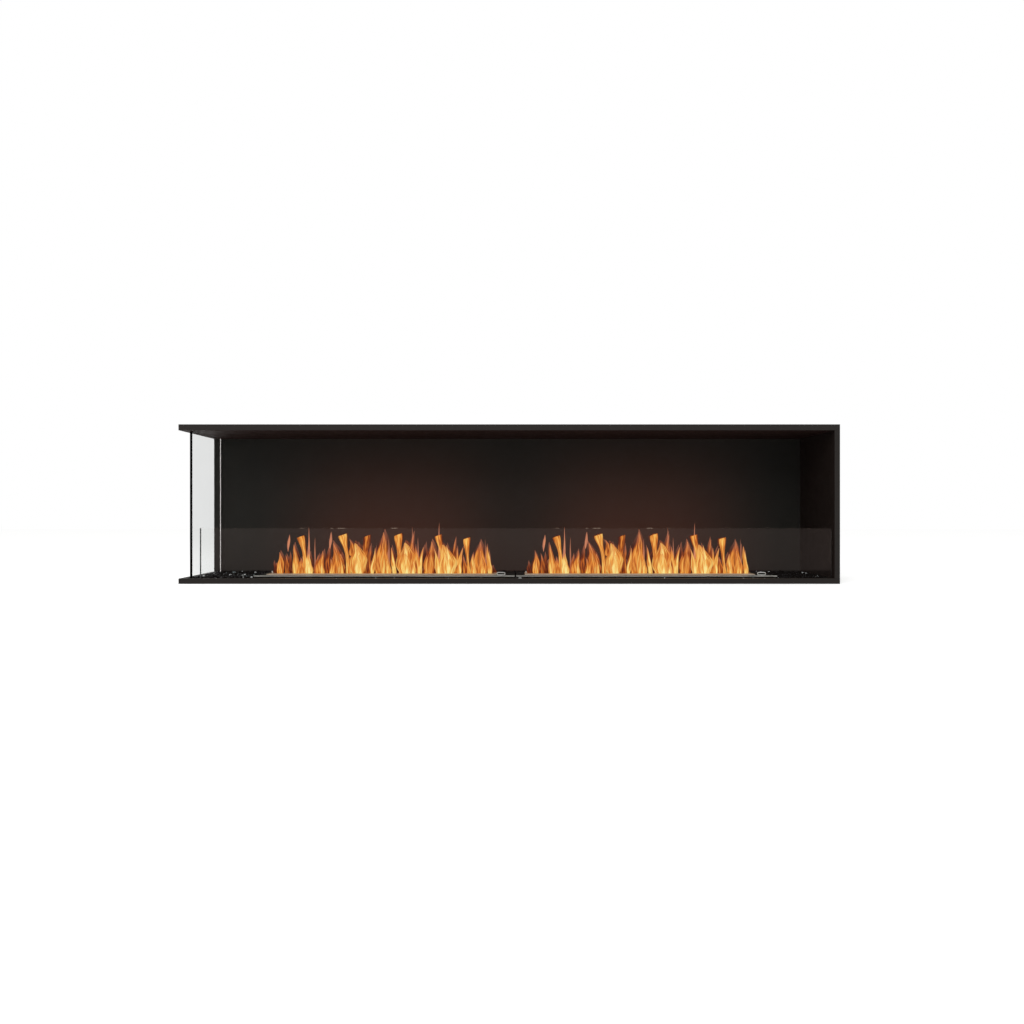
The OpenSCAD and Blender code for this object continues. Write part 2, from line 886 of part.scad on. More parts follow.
// Upright oval of wire on a stem that is riveted to the shutter's tab
module shutter_pull(side) {
    r = pull_wire_d / 2;
    bend_r = pull_h / 2 - r;
    straight = pull_w - pull_h;
    z_ring = z_plate_top + pull_foot_gap + pull_h / 2;
    z_rivet = z_shutter - rivet_h;
    color(steel)
        at_burner(side)
            translate([x_pull, y_pull, 0]) {
                translate([0, 0, z_ring])
                    rotate([90, 0, 0])
                        for (turn = [0, 180])
                            rotate([0, 0, turn]) {
                                translate([straight / 2, 0, 0])
                                    rotate([0, 0, -90])
                                        rotate_extrude(angle = 180)
                                            translate([bend_r, 0])
                                                circle(r = r);
                                translate([-straight / 2, -bend_r, 0])
                                    rotate([0, 90, 0])
                                        cylinder(h = straight, r = r);
                            }
                translate([0, 0, z_rivet])
                    cylinder(h = z_ring - bend_r - z_rivet, r = stem_d / 2);
                translate([0, 0, z_rivet])
                    cylinder(h = rivet_h, r = stem_d / 2 + rivet_lip);
            }
}

// Fixings

module weld_nut() {
    difference() {
        cylinder(h = nut_h, d = nut_flats / cos(30), $fn = 6);
        translate([0, 0, -past])
            cylinder(h = nut_h + 2 * past, r = fixing_r);
    }
}

module rear_weld_nuts() {
    color(bare_tube)
        at_rear_fixings(y_rear_in)
            weld_nut();
}

module side_weld_nuts() {
    color(bare_tube)
        at_side_fixings(x_right_in)
            weld_nut();
}

module rear_skin_screws() {
    color(coat)
        at_rear_screws()
            skin_screw();
}

module side_skin_screws() {
    color(coat)
        at_side_screws()
            skin_screw();
}

base_plate();
floor_pan();
front_lip();
left_lip();
base_rail_front();
base_rail_left();
base_rail_right();
base_rail_rear();
back_outer_skin();
back_insulation();
back_liner();
rear_left_post();
rear_right_post();
front_right_post();
right_outer_skin();
right_insulation();
right_liner();
top_outer_skin();
top_insulation();
top_liner();
top_rail_front();
top_rail_rear();
top_rail_left();
side_glass();
side_channel_bottom();
side_channel_top();
side_glass_blocks();
side_glass_seal();
front_screen();
screen_rail();
screen_blocks();
glass_bed_front();
glass_bed_rear();
glass_bed_left();
glass_bed_right();
burner_fence(-1);  // burner_fence_left
burner_fence(1);  // burner_fence_right
burner_tray(-1);  // burner_tray_left
burner_tray(1);  // burner_tray_right
burner_plate(-1);  // burner_plate_left
burner_plate(1);  // burner_plate_right
plate_trim(-1);  // plate_trim_left
plate_trim(1);  // plate_trim_right
slot_frame(-1);  // slot_frame_left
slot_frame(1);  // slot_frame_right
lift_stud(-1);  // lift_stud_left
lift_stud(1);  // lift_stud_right
shutter_guides(-1);  // shutter_guides_left
shutter_guides(1);  // shutter_guides_right
fibre_pad(-1);  // fibre_pad_left
fibre_pad(1);  // fibre_pad_right
shutter(-1);  // shutter_left
shutter(1);  // shutter_right
shutter_pull(-1);  // shutter_pull_left
shutter_pull(1);  // shutter_pull_right
rear_weld_nuts();
side_weld_nuts();
rear_skin_screws();
side_skin_screws();
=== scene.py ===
# %% [markdown]
# # A wide bioethanol fireplace insert
#
# This lesson dresses a finished construction model of a built-in firebox: folded steel
# sheets, two clear panes, two lift-out burners and troughs of crushed glass. The
# construction is a fixed frame, so nothing in it is moved or resized here. The lesson adds
# what a construction drawing leaves out: the coats and metals, the rounded sheet edges, the
# loose glass and the fire itself.

# %% Load the fixed frame
import json
import math
import random

import bmesh
import bpy
from mathutils import Matrix, Vector

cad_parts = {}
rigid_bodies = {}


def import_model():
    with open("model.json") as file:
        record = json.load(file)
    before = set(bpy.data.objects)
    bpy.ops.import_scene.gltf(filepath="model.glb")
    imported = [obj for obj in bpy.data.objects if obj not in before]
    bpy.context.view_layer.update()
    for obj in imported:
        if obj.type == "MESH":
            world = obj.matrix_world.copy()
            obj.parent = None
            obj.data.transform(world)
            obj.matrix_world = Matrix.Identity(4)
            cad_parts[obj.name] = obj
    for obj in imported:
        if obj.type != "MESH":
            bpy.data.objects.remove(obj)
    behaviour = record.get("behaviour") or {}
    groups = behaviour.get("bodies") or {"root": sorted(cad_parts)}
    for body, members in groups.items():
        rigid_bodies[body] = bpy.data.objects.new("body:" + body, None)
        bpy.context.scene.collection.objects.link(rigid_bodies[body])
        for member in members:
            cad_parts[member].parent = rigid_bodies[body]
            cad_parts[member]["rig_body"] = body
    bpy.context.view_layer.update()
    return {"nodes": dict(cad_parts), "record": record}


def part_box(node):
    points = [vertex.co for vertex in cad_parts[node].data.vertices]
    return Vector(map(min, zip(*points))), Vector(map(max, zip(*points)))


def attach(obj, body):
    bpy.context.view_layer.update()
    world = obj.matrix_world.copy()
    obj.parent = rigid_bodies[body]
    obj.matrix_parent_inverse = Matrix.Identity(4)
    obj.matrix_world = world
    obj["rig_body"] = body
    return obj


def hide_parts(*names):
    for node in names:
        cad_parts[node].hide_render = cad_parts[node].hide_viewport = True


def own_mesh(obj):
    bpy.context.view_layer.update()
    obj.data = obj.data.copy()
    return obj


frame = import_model()
nodes = frame["nodes"]
scene = bpy.context.scene

# %% [markdown]
# ## Where the picture is taken from
#
# A product picture of a long, low object is often taken square on, from a little below the
# middle of its height, so that upright edges stay upright. The lens here is a moderate wide
# angle at three metres. The camera is level: a tilt would make the side walls lean.

# %% Place the camera
camera_data = bpy.data.cameras.new("camera")
camera_data.sensor_width = 36
camera_data.lens = 30.1
camera = bpy.data.objects.new("camera", camera_data)
camera.location = (0.0093, -3.0575, 0.2415)
camera.rotation_euler = (math.radians(90), 0, 0)
scene.collection.objects.link(camera)
scene.camera = camera
scene.view_settings.view_transform = "Standard"

# %% [markdown]
# ## Shader maths as plain expressions
#
# A finish is a web of nodes. Drawn by hand it is easy to see, but long to describe in code.
# A small class that stands for one output of a node makes it short: two wires can be added
# or multiplied like numbers, and each such step adds its own Math node.

# %% A wire of a finish
class Wire:
    """One output of a node. Arithmetic on it adds Math nodes, and node() adds any other."""

    def __init__(self, tree, socket=None):
        self.tree = tree
        self.socket = socket

    def node(self, kind, settings=None, inputs=None, output=0):
        """Adds a node with its settings and inputs, and gives one of its outputs."""
        made = self.tree.nodes.new(kind)
        for name, value in (settings or {}).items():
            if name == "stops":
                set_stops(made.color_ramp, value)
            else:
                setattr(made, name, value)
        for name, value in (inputs or {}).items():
            if isinstance(value, Wire):
                self.tree.links.new(value.socket, made.inputs[name])
            else:
                made.inputs[name].default_value = value
        return Wire(self.tree, made.outputs[output]) if made.outputs else None

    def maths(self, operation, *values):
        """Adds a Math node that works on these values."""
        return self.node("ShaderNodeMath", {"operation": operation}, dict(enumerate(values)))

    def __add__(self, other):
        return self.maths("ADD", self, other)

    def __sub__(self, other):
        return self.maths("SUBTRACT", self, other)

    def __rsub__(self, other):
        return self.maths("SUBTRACT", other, self)

    def __mul__(self, other):
        return self.maths("MULTIPLY", self, other)

    __radd__ = __add__
    __rmul__ = __mul__

    def between(self, low, high, start=0.0, end=1.0):
        """Runs from start to end, with soft ends, while this wire runs from low to high."""
        return self.node("ShaderNodeMapRange", {"interpolation_type": "SMOOTHSTEP"},
                         {0: self, 1: low, 2: high, 3: start, 4: end})


def set_stops(ramp, stops):
    """Gives a colour ramp its stops, a list of (place, colour)."""
    while len(ramp.elements) > 1:
        ramp.elements.remove(ramp.elements[-1])
    ramp.elements[0].position, ramp.elements[0].color = stops[0]
    for place, colour in stops[1:]:
        ramp.elements.new(place).color = colour


print("wire ready")

# %% [markdown]
# ## Small helpers for colours and patterns
#
# Colours are written as a painter reads them from a picture, from 0 to 255, and turned into
# the linear values that a shader needs. Patterns read Object coordinates, which are metres
# here, so a grain of half a millimetre is written as just that.

# %% Colours and patterns
def paint(red, green, blue, share=1.0):
    """A picture colour from 0 to 255 as the linear colour of a shader."""
    def linear(value):
        value = value / 255
        return value / 12.92 if value <= 0.04045 else ((value + 0.055) / 1.055) ** 2.4
    return (linear(red) * share, linear(green) * share, linear(blue) * share, 1.0)


def new_finish(name):
    """An empty material, and the wire that its nodes are hung on."""
    made = bpy.data.materials.new(name)
    made.use_nodes = True
    made.node_tree.nodes.clear()
    return made, Wire(made.node_tree)


def place_on(wire, stretch=(1, 1, 1)):
    """Object coordinates, squeezed along each axis by that much."""
    spot = wire.node("ShaderNodeTexCoord", output="Object")
    if stretch == (1, 1, 1):
        return spot
    return wire.node("ShaderNodeVectorMath", {"operation": "MULTIPLY"}, {0: spot, 1: stretch})


def part_of(wire, axis, vector=None):
    """The X, Y or Z part of a vector, or of the place in metres."""
    return wire.node("ShaderNodeSeparateXYZ", None, {"Vector": vector or place_on(wire)}, axis)


def grain(wire, spot, size, detail=2.0, roughness=0.55):
    """Noise with features of about that size in metres, from 0 to 1."""
    return wire.node("ShaderNodeTexNoise", None,
                     {"Vector": spot, "Scale": 1 / size, "Detail": detail, "Roughness": roughness})


def blend(wire, share, low, high):
    """A colour between two colours."""
    return wire.node("ShaderNodeMix", {"data_type": "RGBA"}, {0: share, 6: low, 7: high}, 2)


def bump(wire, height, depth, strength=1.0):
    """A normal from a height of 0 to 1 that stands for that depth in metres."""
    return wire.node("ShaderNodeBump", None,
                     {"Height": height, "Distance": depth, "Strength": strength})


def shade(wire, **inputs):
    """The surface's shader, its sockets named with _ for a space, joined to the output."""
    named = {name.replace("_", " "): value for name, value in inputs.items()}
    surface = wire.node("ShaderNodeBsdfPrincipled", None, named)
    wire.node("ShaderNodeOutputMaterial", None, {"Surface": surface})


DARK = (0, 0, 0, 1)
finishes = {}
print("helpers ready")

# %% [markdown]
# ## Studio
#
# The insert stands on a pale floor in front of white. A large soft lamp above the camera
# and a smaller one at the left do the work of a photographer's soft boxes. What the camera,
# a mirror or a pane sees far away is plain white, while the light that the surroundings
# give is weaker, so the dark coats keep their depth.

# %% Surroundings
def watching_rays(wire):
    """1 for what the camera, a mirror or a pane sees, 0 for what only gives light."""
    seen, mirrored, through = [
        wire.node("ShaderNodeLightPath", output=kind)
        for kind in ("Is Camera Ray", "Is Glossy Ray", "Is Transmission Ray")]
    return wire.maths("MINIMUM", seen + mirrored + through, 1.0)


world = bpy.data.worlds.new("studio")
scene.world = world
world.use_nodes = True
world.node_tree.nodes.clear()
sky = Wire(world.node_tree)
strength = watching_rays(sky) * 0.5 + 0.5
backdrop = sky.node("ShaderNodeBackground", None, {"Color": (1, 1, 1, 1), "Strength": strength})
sky.node("ShaderNodeOutputWorld", None, {"Surface": backdrop})
print("surroundings:", world.name)

# %% Lamps
def add_lamp(name, place, aim, size, power):
    """A square soft lamp of that size in metres, turned to look at aim."""
    data = bpy.data.lights.new(name, "AREA")
    data.shape = "SQUARE"
    data.size = size
    data.energy = power
    lamp = bpy.data.objects.new(name, data)
    lamp.location = place
    lamp.rotation_euler = (Vector(aim) - Vector(place)).to_track_quat("-Z", "Y").to_euler()
    lamp.visible_glossy = False
    scene.collection.objects.link(lamp)
    print(name, power, "W")


add_lamp("soft_box_front", (-0.6, -4.0, 3.0), aim=(0, 0, 0.2), size=2.4, power=95)
add_lamp("soft_box_left", (-3.6, -1.2, 1.6), aim=(-0.6, 0, 0.2), size=1.6, power=12)

# %% Floor
HALF_FLOOR = 9
FLOOR_Z = -0.0002
floor_mesh = bpy.data.meshes.new("floor")
bm = bmesh.new()
bmesh.ops.create_grid(bm, x_segments=1, y_segments=1, size=HALF_FLOOR)
bmesh.ops.translate(bm, vec=(0, 0, FLOOR_Z), verts=bm.verts)
bm.to_mesh(floor_mesh)
bm.free()
floor = bpy.data.objects.new("floor", floor_mesh)
scene.collection.objects.link(floor)
floor_finish, wire = new_finish("floor_paint")
cloud = grain(wire, place_on(wire), 0.9)
watched = watching_rays(wire)
shade(wire, Base_Color=blend(wire, cloud, paint(236, 236, 235), paint(242, 242, 241)),
      Roughness=0.9, Specular_IOR_Level=0.0,
      Emission_Color=blend(wire, watched, DARK, (0.55, 0.55, 0.55, 1)),
      Emission_Strength=1.0)
floor.data.materials.append(floor_finish)
print("floor", round(floor.dimensions.x, 1), "m wide")

# %% [markdown]
# ## Powder coat
#
# The casing is steel sheet with a baked powder coat, which on such fireboxes is a charcoal
# with a fine sandy grain. A plain dark colour looks like plastic. The grain is a noise of
# about half a millimetre that feeds both the colour and a bump, and a much wider, weaker
# noise stands for the uneven flow of the powder and for handling. The same recipe, darker
# and more matt, gives the heat-proof coat of the inside.

# %% Coats
def coat(name, dark, light, roughness, shine, glow=None):
    """A powder coat between two tones. glow is a function that gives its own faint light."""
    made, wire = new_finish(name)
    spot = place_on(wire)
    sand = grain(wire, spot, 0.0006, 3.0, 0.6)
    flow = grain(wire, spot, 0.045, 3.0)
    tone = sand.between(0.32, 0.68) * 0.75 + flow.between(0.25, 0.75) * 0.25
    height = sand.between(0.35, 0.7)
    inputs = {
        "Base_Color": blend(wire, tone, dark, light),
        "Roughness": flow.between(0.3, 0.7, roughness - 0.05, roughness + 0.07),
        "Specular_IOR_Level": shine,
        "Normal": bump(wire, height, 0.00012, 0.6),
    }
    if glow is not None:
        inputs["Emission_Color"] = glow(wire)
        inputs["Emission_Strength"] = 1.0
    shade(wire, **inputs)
    finishes[name] = made


coat("powder_coat", paint(33, 30, 28), paint(47, 43, 41), roughness=0.62, shine=0.16)
coat("plate_coat", paint(20, 19, 18), paint(33, 31, 29), roughness=0.48, shine=0.25)
# The ceiling's tones are the inside coat with painted shade and a painted warm firelight.
coat("ceiling_coat", paint(31, 18, 15), paint(44, 28, 24), roughness=0.62, shine=0.12)
print("coats:", sorted(finishes))

# %% [markdown]
# ## Liner lit by the fire
#
# The liner behind the burners takes on a faint brown warmth from the flames. Lamps could
# give it, but they are lost when the model is taken elsewhere, so the warmth belongs to the
# coat: a weak glow that fades away from the middle of each burner and with height. The front
# lip gets a stronger one, but only on its upper face, which looks at the fire.

# %% Liner and lip
BURNER_MIDDLES = (-0.43, 0.47)


def near_burners(wire, full, none, rest):
    """For each burner, 1 up to full from its middle, falling to rest at none."""
    across = part_of(wire, "X")
    return [wire.maths("ABSOLUTE", across - middle).between(full, none, 1.0, rest)
            for middle in BURNER_MIDDLES]


def fire_glow(wire):
    """A weak warm colour round the middle of each burner."""
    left, right = near_burners(wire, full=0.05, none=0.56, rest=0.0)
    share = (left + right) * part_of(wire, "Z").between(0.0, 0.62, 1.0, 0.0)
    return blend(wire, share, DARK, (0.036, 0.0090, 0.0045, 1))


def lip_glow(wire):
    """A warm light on what faces up, in front of each burner."""
    up = part_of(wire, "Z", wire.node("ShaderNodeTexCoord", output="Normal"))
    near = wire.maths("MAXIMUM", *near_burners(wire, full=0.30, none=0.47, rest=0.1))
    return blend(wire, up.between(0.5, 0.9) * near, DARK, (0.085, 0.055, 0.030, 1))


coat("liner_coat", paint(28, 27, 25), paint(41, 39, 36), roughness=0.66, shine=0.12)
# The right side's tones are the liner coat with painted shade and a painted warm firelight.
coat("side_coat", paint(23, 16, 14), paint(33, 26, 23), roughness=0.66, shine=0.12)
coat("back_coat", paint(28, 27, 25), paint(41, 39, 36), roughness=0.66, shine=0.12,
     glow=fire_glow)
coat("lip_coat", paint(31, 28, 26), paint(44, 40, 38), roughness=0.62, shine=0.16,
     glow=lip_glow)
print("burner middles at", BURNER_MIDDLES)

# %% [markdown]
# ## Metals
#
# Brushed stainless steel gets its look from fine scratches that all run one way. A noise
# that changes three hundred times faster across the strip than along it makes them. The
# steel round the slot is heated daily and turns straw and brown, so its colour follows the
# distance from the slot. Zinc on the hidden tubes is broken into pale and dark spangles.

# %% Brushed steel
BRUSHED_ALONG = (3, 900, 900)


def brushed(name, dark, light, roughness, along=BRUSHED_ALONG, tint=None, glow=None, metallic=1.0):
    """Brushed metal. tint changes its colour, glow is the firelight that it gives back."""
    made, wire = new_finish(name)
    lines = grain(wire, place_on(wire, along), 1.0, 3.0, 0.6)
    cloud = grain(wire, place_on(wire), 0.05, 2.0)
    tone = lines.between(0.3, 0.7) * 0.7 + cloud * 0.3
    colour = blend(wire, tone, dark, light)
    if tint is not None:
        colour = tint(wire, colour)
    inputs = {"Base_Color": colour, "Metallic": metallic,
              "Normal": bump(wire, lines, 0.00004, 0.5),
              "Roughness": lines.between(0.3, 0.7, roughness - 0.08, roughness + 0.08)}
    if glow is not None:
        weak, strong = paint(*glow, share=0.75), paint(*glow, share=1.25)
        inputs["Emission_Color"] = blend(wire, tone, weak, strong)
        inputs["Emission_Strength"] = 1.0
    shade(wire, **inputs)
    finishes[name] = made


print("brush lines across a metre:", BRUSHED_ALONG[1])

# %% Heat tint and painted shade
SLOT_MIDDLE_Y = -0.0205


def heat_tint(wire, colour):
    """Straw and brown near the slot's long edges, in uneven patches."""
    far = wire.maths("ABSOLUTE", part_of(wire, "Y") - SLOT_MIDDLE_Y)
    patch = grain(wire, place_on(wire, (1, 2, 1)), 0.06, 3.0)
    share = far.between(0.018, 0.052, 0.85, 0.0) * patch.between(0.3, 0.7, 0.4, 1.0)
    return blend(wire, share, colour, paint(150, 104, 66))


def trim_foot_shade(wire, colour):
    """Painted shade along the foot of the trim, where the glass in front shadows it, in uneven
    patches.
    """
    patch = grain(wire, place_on(wire, (1, 2, 1)), 0.04, 3.0)
    share = (part_of(wire, "Z").between(0.0200, 0.0222, 0.85, 0.0)
             * patch.between(0.3, 0.7, 0.7, 1.0))
    return blend(wire, share, colour, paint(52, 44, 38))


brushed("brushed_stainless", paint(150, 148, 144), paint(196, 192, 186), roughness=0.36,
        tint=heat_tint)
brushed("fire_steel", paint(150, 148, 144), paint(196, 192, 186), roughness=0.36,
        tint=heat_tint, glow=(108, 88, 66))
# The satin trim gets a painted shade along its foot.
brushed("satin_trim", paint(172, 170, 166), paint(220, 216, 209), roughness=0.40, tint=trim_foot_shade)
brushed("bright_steel", paint(228, 226, 222), paint(248, 246, 242), roughness=0.45,
        along=(300, 300, 300), metallic=0.6)
print("finishes so far:", sorted(finishes))

# %% Zinc
zinc, wire = new_finish("tube_steel")
spangle = wire.node("ShaderNodeTexVoronoi", None, {"Vector": place_on(wire), "Scale": 110}, "Color")
crystal = wire.node("ShaderNodeSeparateColor", None, {"Color": spangle}, 0)
shade(wire, Base_Color=blend(wire, crystal, paint(112, 115, 120), paint(158, 161, 166)),
      Metallic=0.9, Roughness=crystal.between(0, 1, 0.38, 0.55),
      Normal=bump(wire, grain(wire, place_on(wire), 0.002), 0.00006, 0.5))
finishes["tube_steel"] = zinc
print("metals ready")

# %% [markdown]
# ## Board, felt and silicone
#
# These pieces are mostly hidden, but the burners lift out and the slots open, so they are
# finished too. Mineral board shows short fibres and pressed dimples. The ceramic felt in the
# fuel trays is white and woolly, a little scorched on top. Silicone is matt and almost black.

# %% Soft and matt finishes
board, wire = new_finish("insulation_board")
dimple = grain(wire, place_on(wire, (1, 3, 1)), 0.004, 3.0)
shade(wire, Base_Color=blend(wire, dimple, paint(196, 190, 174), paint(226, 222, 208)),
      Roughness=0.95, Specular_IOR_Level=0.1, Normal=bump(wire, dimple, 0.0006, 0.7))
finishes["insulation_board"] = board

felt, wire = new_finish("ceramic_fibre")
wool = grain(wire, place_on(wire, (1, 1, 3)), 0.0022, 5.0, 0.7)
scorch = grain(wire, place_on(wire), 0.05, 3.0).between(0.5, 0.75, 0.0, 0.5)
clean = blend(wire, wool, paint(206, 204, 196), paint(244, 243, 238))
shade(wire, Base_Color=blend(wire, scorch, clean, paint(150, 138, 120)),
      Roughness=0.98, Specular_IOR_Level=0.05, Normal=bump(wire, wool, 0.0012, 0.9))
finishes["ceramic_fibre"] = felt

rubber, wire = new_finish("silicone")
skin = grain(wire, place_on(wire), 0.0015, 2.0)
shade(wire, Base_Color=blend(wire, skin, paint(30, 30, 31), paint(44, 44, 45)), Roughness=0.7,
      Specular_IOR_Level=0.3, Normal=bump(wire, skin, 0.00008, 0.4))
finishes["silicone"] = rubber
print("finishes:", len(finishes))

# %% [markdown]
# ## Hang the finishes on the construction
#
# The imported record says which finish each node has. The liners, the front lip, the screws
# and the small steel parts of the burners get versions of their own.

# %% Assign finishes
special = {"back_liner": "back_coat", "top_liner": "ceiling_coat", "right_liner": "side_coat",
           "front_lip": "lip_coat", "rear_skin_screws": "tube_steel",
           "side_skin_screws": "tube_steel"}
for side in ("left", "right"):
    special["shutter_pull_" + side] = special["lift_stud_" + side] = "bright_steel"
    special["slot_frame_" + side] = "fire_steel"
slot_of = {part["node"]: part["material_slot"] for part in frame["record"]["subparts"]}
for name, thing in nodes.items():
    wanted = special.get(name, slot_of[name])
    if wanted in finishes:
        for slot in thing.material_slots:
            slot.material = finishes[wanted]
print("still bare:", sorted({slot_of[n] for n in nodes} - set(finishes)))

# %% [markdown]
# ## Rounded sheet edges
#
# No real sheet has a perfectly sharp edge: bends have a radius and cut edges are broken, and
# the thin line of light on them is most of what makes dark steel readable. The construction
# nodes are triangles with sharp edges, so the visible sheets are copied, merged into whole
# faces and their long edges rounded by half a millimetre. Each copy stands for its node.

# %% A copy with rounded edges
def join_up(name, bm, finish_list, body):
    """Makes an object from a bmesh, with its finishes, and hangs it on a body."""
    mesh = bpy.data.meshes.new(name)
    bm.to_mesh(mesh)
    bm.free()
    for finish in finish_list:
        mesh.materials.append(finish)
    thing = bpy.data.objects.new(name, mesh)
    scene.collection.objects.link(thing)
    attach(thing, body)
    return thing


def rounded_copy(node, radius, steps=2, shortest=0.004):
    """A bmesh of a node, merged, its sharp edges longer than shortest rounded."""
    bm = bmesh.new()
    bm.from_mesh(nodes[node].data)
    bmesh.ops.remove_doubles(bm, verts=bm.verts, dist=1e-6)
    bmesh.ops.dissolve_limit(bm, angle_limit=math.radians(1), verts=bm.verts, edges=bm.edges)
    sharp = [e for e in bm.edges
             if len(e.link_faces) == 2 and e.calc_length() > shortest
             and e.calc_face_angle() > math.radians(30)]
    if radius:
        bmesh.ops.bevel(bm, geom=sharp, offset=radius, offset_type="OFFSET", affect="EDGES",
                        segments=steps, profile=0.5, material=-1, clamp_overlap=True)
    return bm


print("rounding ready")

# %% Smooth shading
def soften(bm, angle=math.radians(32)):
    """Shades a bmesh smooth, but for the edges sharper than that angle."""
    for f in bm.faces:
        f.smooth = True
    for e in bm.edges:
        e.smooth = len(e.link_faces) != 2 or e.calc_face_angle() < angle


def body_of(node):
    """The body that a node rides on."""
    return nodes[node]["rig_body"]


print("bodies:", sorted({body_of(node) for node in nodes}))

# %% Rounded sheets
rounded = {
    "base_plate": 0.0005, "front_lip": 0.0006, "left_lip": 0.0006, "top_outer_skin": 0.0006,
    "right_outer_skin": 0.0006, "plate_trim_left": 0.0004, "plate_trim_right": 0.0004,
    "slot_frame_left": 0.0005, "slot_frame_right": 0.0005,
    "burner_plate_left": 0.0005, "burner_plate_right": 0.0005,
}
for node, radius in rounded.items():
    piece = join_up(node + "_sheet", rounded_copy(node, radius, shortest=0.012),
                    [finishes[special.get(node, slot_of[node])]], body_of(node))
    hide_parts(node)
for node in ("shutter_pull_left", "shutter_pull_right", "lift_stud_left", "lift_stud_right"):
    bm = rounded_copy(node, 0)
    soften(bm)
    piece = join_up(node + "_turned", bm, [finishes["bright_steel"]], body_of(node))
    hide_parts(node)
print("rounded sheets:", len(rounded))

# %% [markdown]
# ## Panes
#
# A toughened pane is seen mostly by what it reflects, more of it the flatter the view, and
# by its ground edges. The faces are a mix of see-through and mirror that follows the
# Fresnel law. The light is not bent, so a thin pane shows what is behind it in its place.
# The low screen is looked at square on, where its mirror is so weak that it comes out as
# grain, so an even sheen takes the mirror's place.
#
# The edges are surfaces of their own: the front edge looks almost black against the light,
# the rear one pipes a thin line of daylight, and the others pick up a grey. The low screen's
# upper edge shows a few painted reflections of the flames.

# %% Clear faces
GLASS_INDEX = 1.44
# Heights where the panes stop mirroring the lips and begin to mirror the room
LIPS_END, ROOM_STARTS = 0.041, 0.049


def pane_finish(name, share, foot=1.0, sheen=None):
    """Clear glass whose faces mirror that share of what the Fresnel law gives. Near the floor,
    where they mirror dark lips and glass instead of the bright room, it falls to foot. With a
    sheen, an even glow of that colour stands in for the room that the glass mirrors."""
    made, wire = new_finish(name)
    law = wire.node("ShaderNodeFresnel", None, {"IOR": GLASS_INDEX})
    facing = wire.node("ShaderNodeNewGeometry", output="Backfacing")
    smear = grain(wire, place_on(wire), 0.12, 3.0).between(0.3, 0.7, 0.94, 1.0)
    above = part_of(wire, "Z").between(LIPS_END, ROOM_STARTS, foot, 1.0)
    mirror = law * share * (1 - facing) * smear * above
    clear = wire.node("ShaderNodeBsdfTransparent", None, {"Color": (0.985, 0.99, 0.987, 1)})
    if sheen is None:
        image = wire.node("ShaderNodeBsdfGlossy", None, {"Color": (1, 1, 1, 1), "Roughness": 0.0})
    else:
        image = wire.node("ShaderNodeEmission", None, {"Color": sheen, "Strength": 1.6})
    mixed = wire.node("ShaderNodeMixShader", None, {0: mirror, 1: clear, 2: image})
    wire.node("ShaderNodeOutputMaterial", None, {"Surface": mixed})
    finishes[name] = made


pane_finish("side_pane", share=1.45)
pane_finish("screen_pane", share=0.3, foot=0.25, sheen=(1.0, 0.77, 0.70, 1))
print("index of the glass:", GLASS_INDEX)

# %% Ground edges
EDGE_LINE_X = -1.0862


def ground_edge(name, dark, light, glow=0.0, opaque=1.0):
    """The ground and polished edge of a pane. glow is the light piped to it through the glass,
    seen as a thin line at EDGE_LINE_X."""
    made, wire = new_finish(name)
    haze = grain(wire, place_on(wire, (6, 6, 1)), 0.03, 3.0)
    inputs = {
        "Base_Color": blend(wire, haze, dark, light), "Roughness": 0.35, "Specular_IOR_Level": 0.02,
        "Normal": bump(wire, grain(wire, place_on(wire), 0.0008), 0.00005, 0.5),
    }
    if glow:
        line = wire.maths("ABSOLUTE", part_of(wire, "X") - EDGE_LINE_X)
        core = line.between(0.0011, 0.0018, 1.0, 0.0) * haze.between(0.2, 0.8, 0.85, 1)
        inputs["Emission_Color"] = blend(wire, core, DARK, (glow, glow * 0.94, glow * 0.92, 1))
        inputs["Emission_Strength"] = 1.0
    if opaque < 1:
        inputs["Alpha"] = haze.between(0.2, 0.8, opaque * 0.8, opaque * 1.2)
    shade(wire, **inputs)
    finishes[name] = made


ground_edge("edge_dark", paint(2, 2, 2), paint(6, 6, 6))
ground_edge("edge_light", paint(66, 68, 68), paint(90, 92, 92))
ground_edge("edge_faint", paint(60, 62, 61), paint(80, 82, 81), opaque=0.12)
ground_edge("edge_lit", paint(20, 20, 20), paint(34, 34, 34), glow=1.05)
print("edges:", [name for name in finishes if name.startswith("edge")])

# %% Painted reflections of the flames on the upper edge
# The first painted reflection of each burner, and every reflection's distance from it, half width
# and strength
FIRST_FLAME_REFLECTIONS = (-0.702, 0.1615)
FLAME_REFLECTIONS = ((0, 0.008, 0.22), (0.102, 0.006, 0.22), (0.135, 0.018, 0.38), (0.314, 0.014, 0.38))
flame_reflection_finish, wire = new_finish("edge_sparks")
glint = grain(wire, place_on(wire, (1, 0, 0)), 0.006, 2.0)
across = part_of(wire, "X")
lit = 0.015
for start in FIRST_FLAME_REFLECTIONS:
    for along, reach, share in FLAME_REFLECTIONS:
        far = wire.maths("ABSOLUTE", across - (start + along))
        lit = far.between(reach * 0.4, reach, share, 0.0) + lit
shade(wire, Base_Color=blend(wire, glint, paint(150, 130, 116), paint(206, 182, 160)),
      Roughness=0.35, Specular_IOR_Level=0.1, Alpha=lit * glint.between(0.3, 0.7, 0.7, 1.0))
finishes["edge_sparks"] = flame_reflection_finish
print("sparks:", len(FIRST_FLAME_REFLECTIONS) * len(FLAME_REFLECTIONS))

# %% Panes with ground edges
# How far along the thin axis the normal of a broad face points at least
BROAD = 0.99


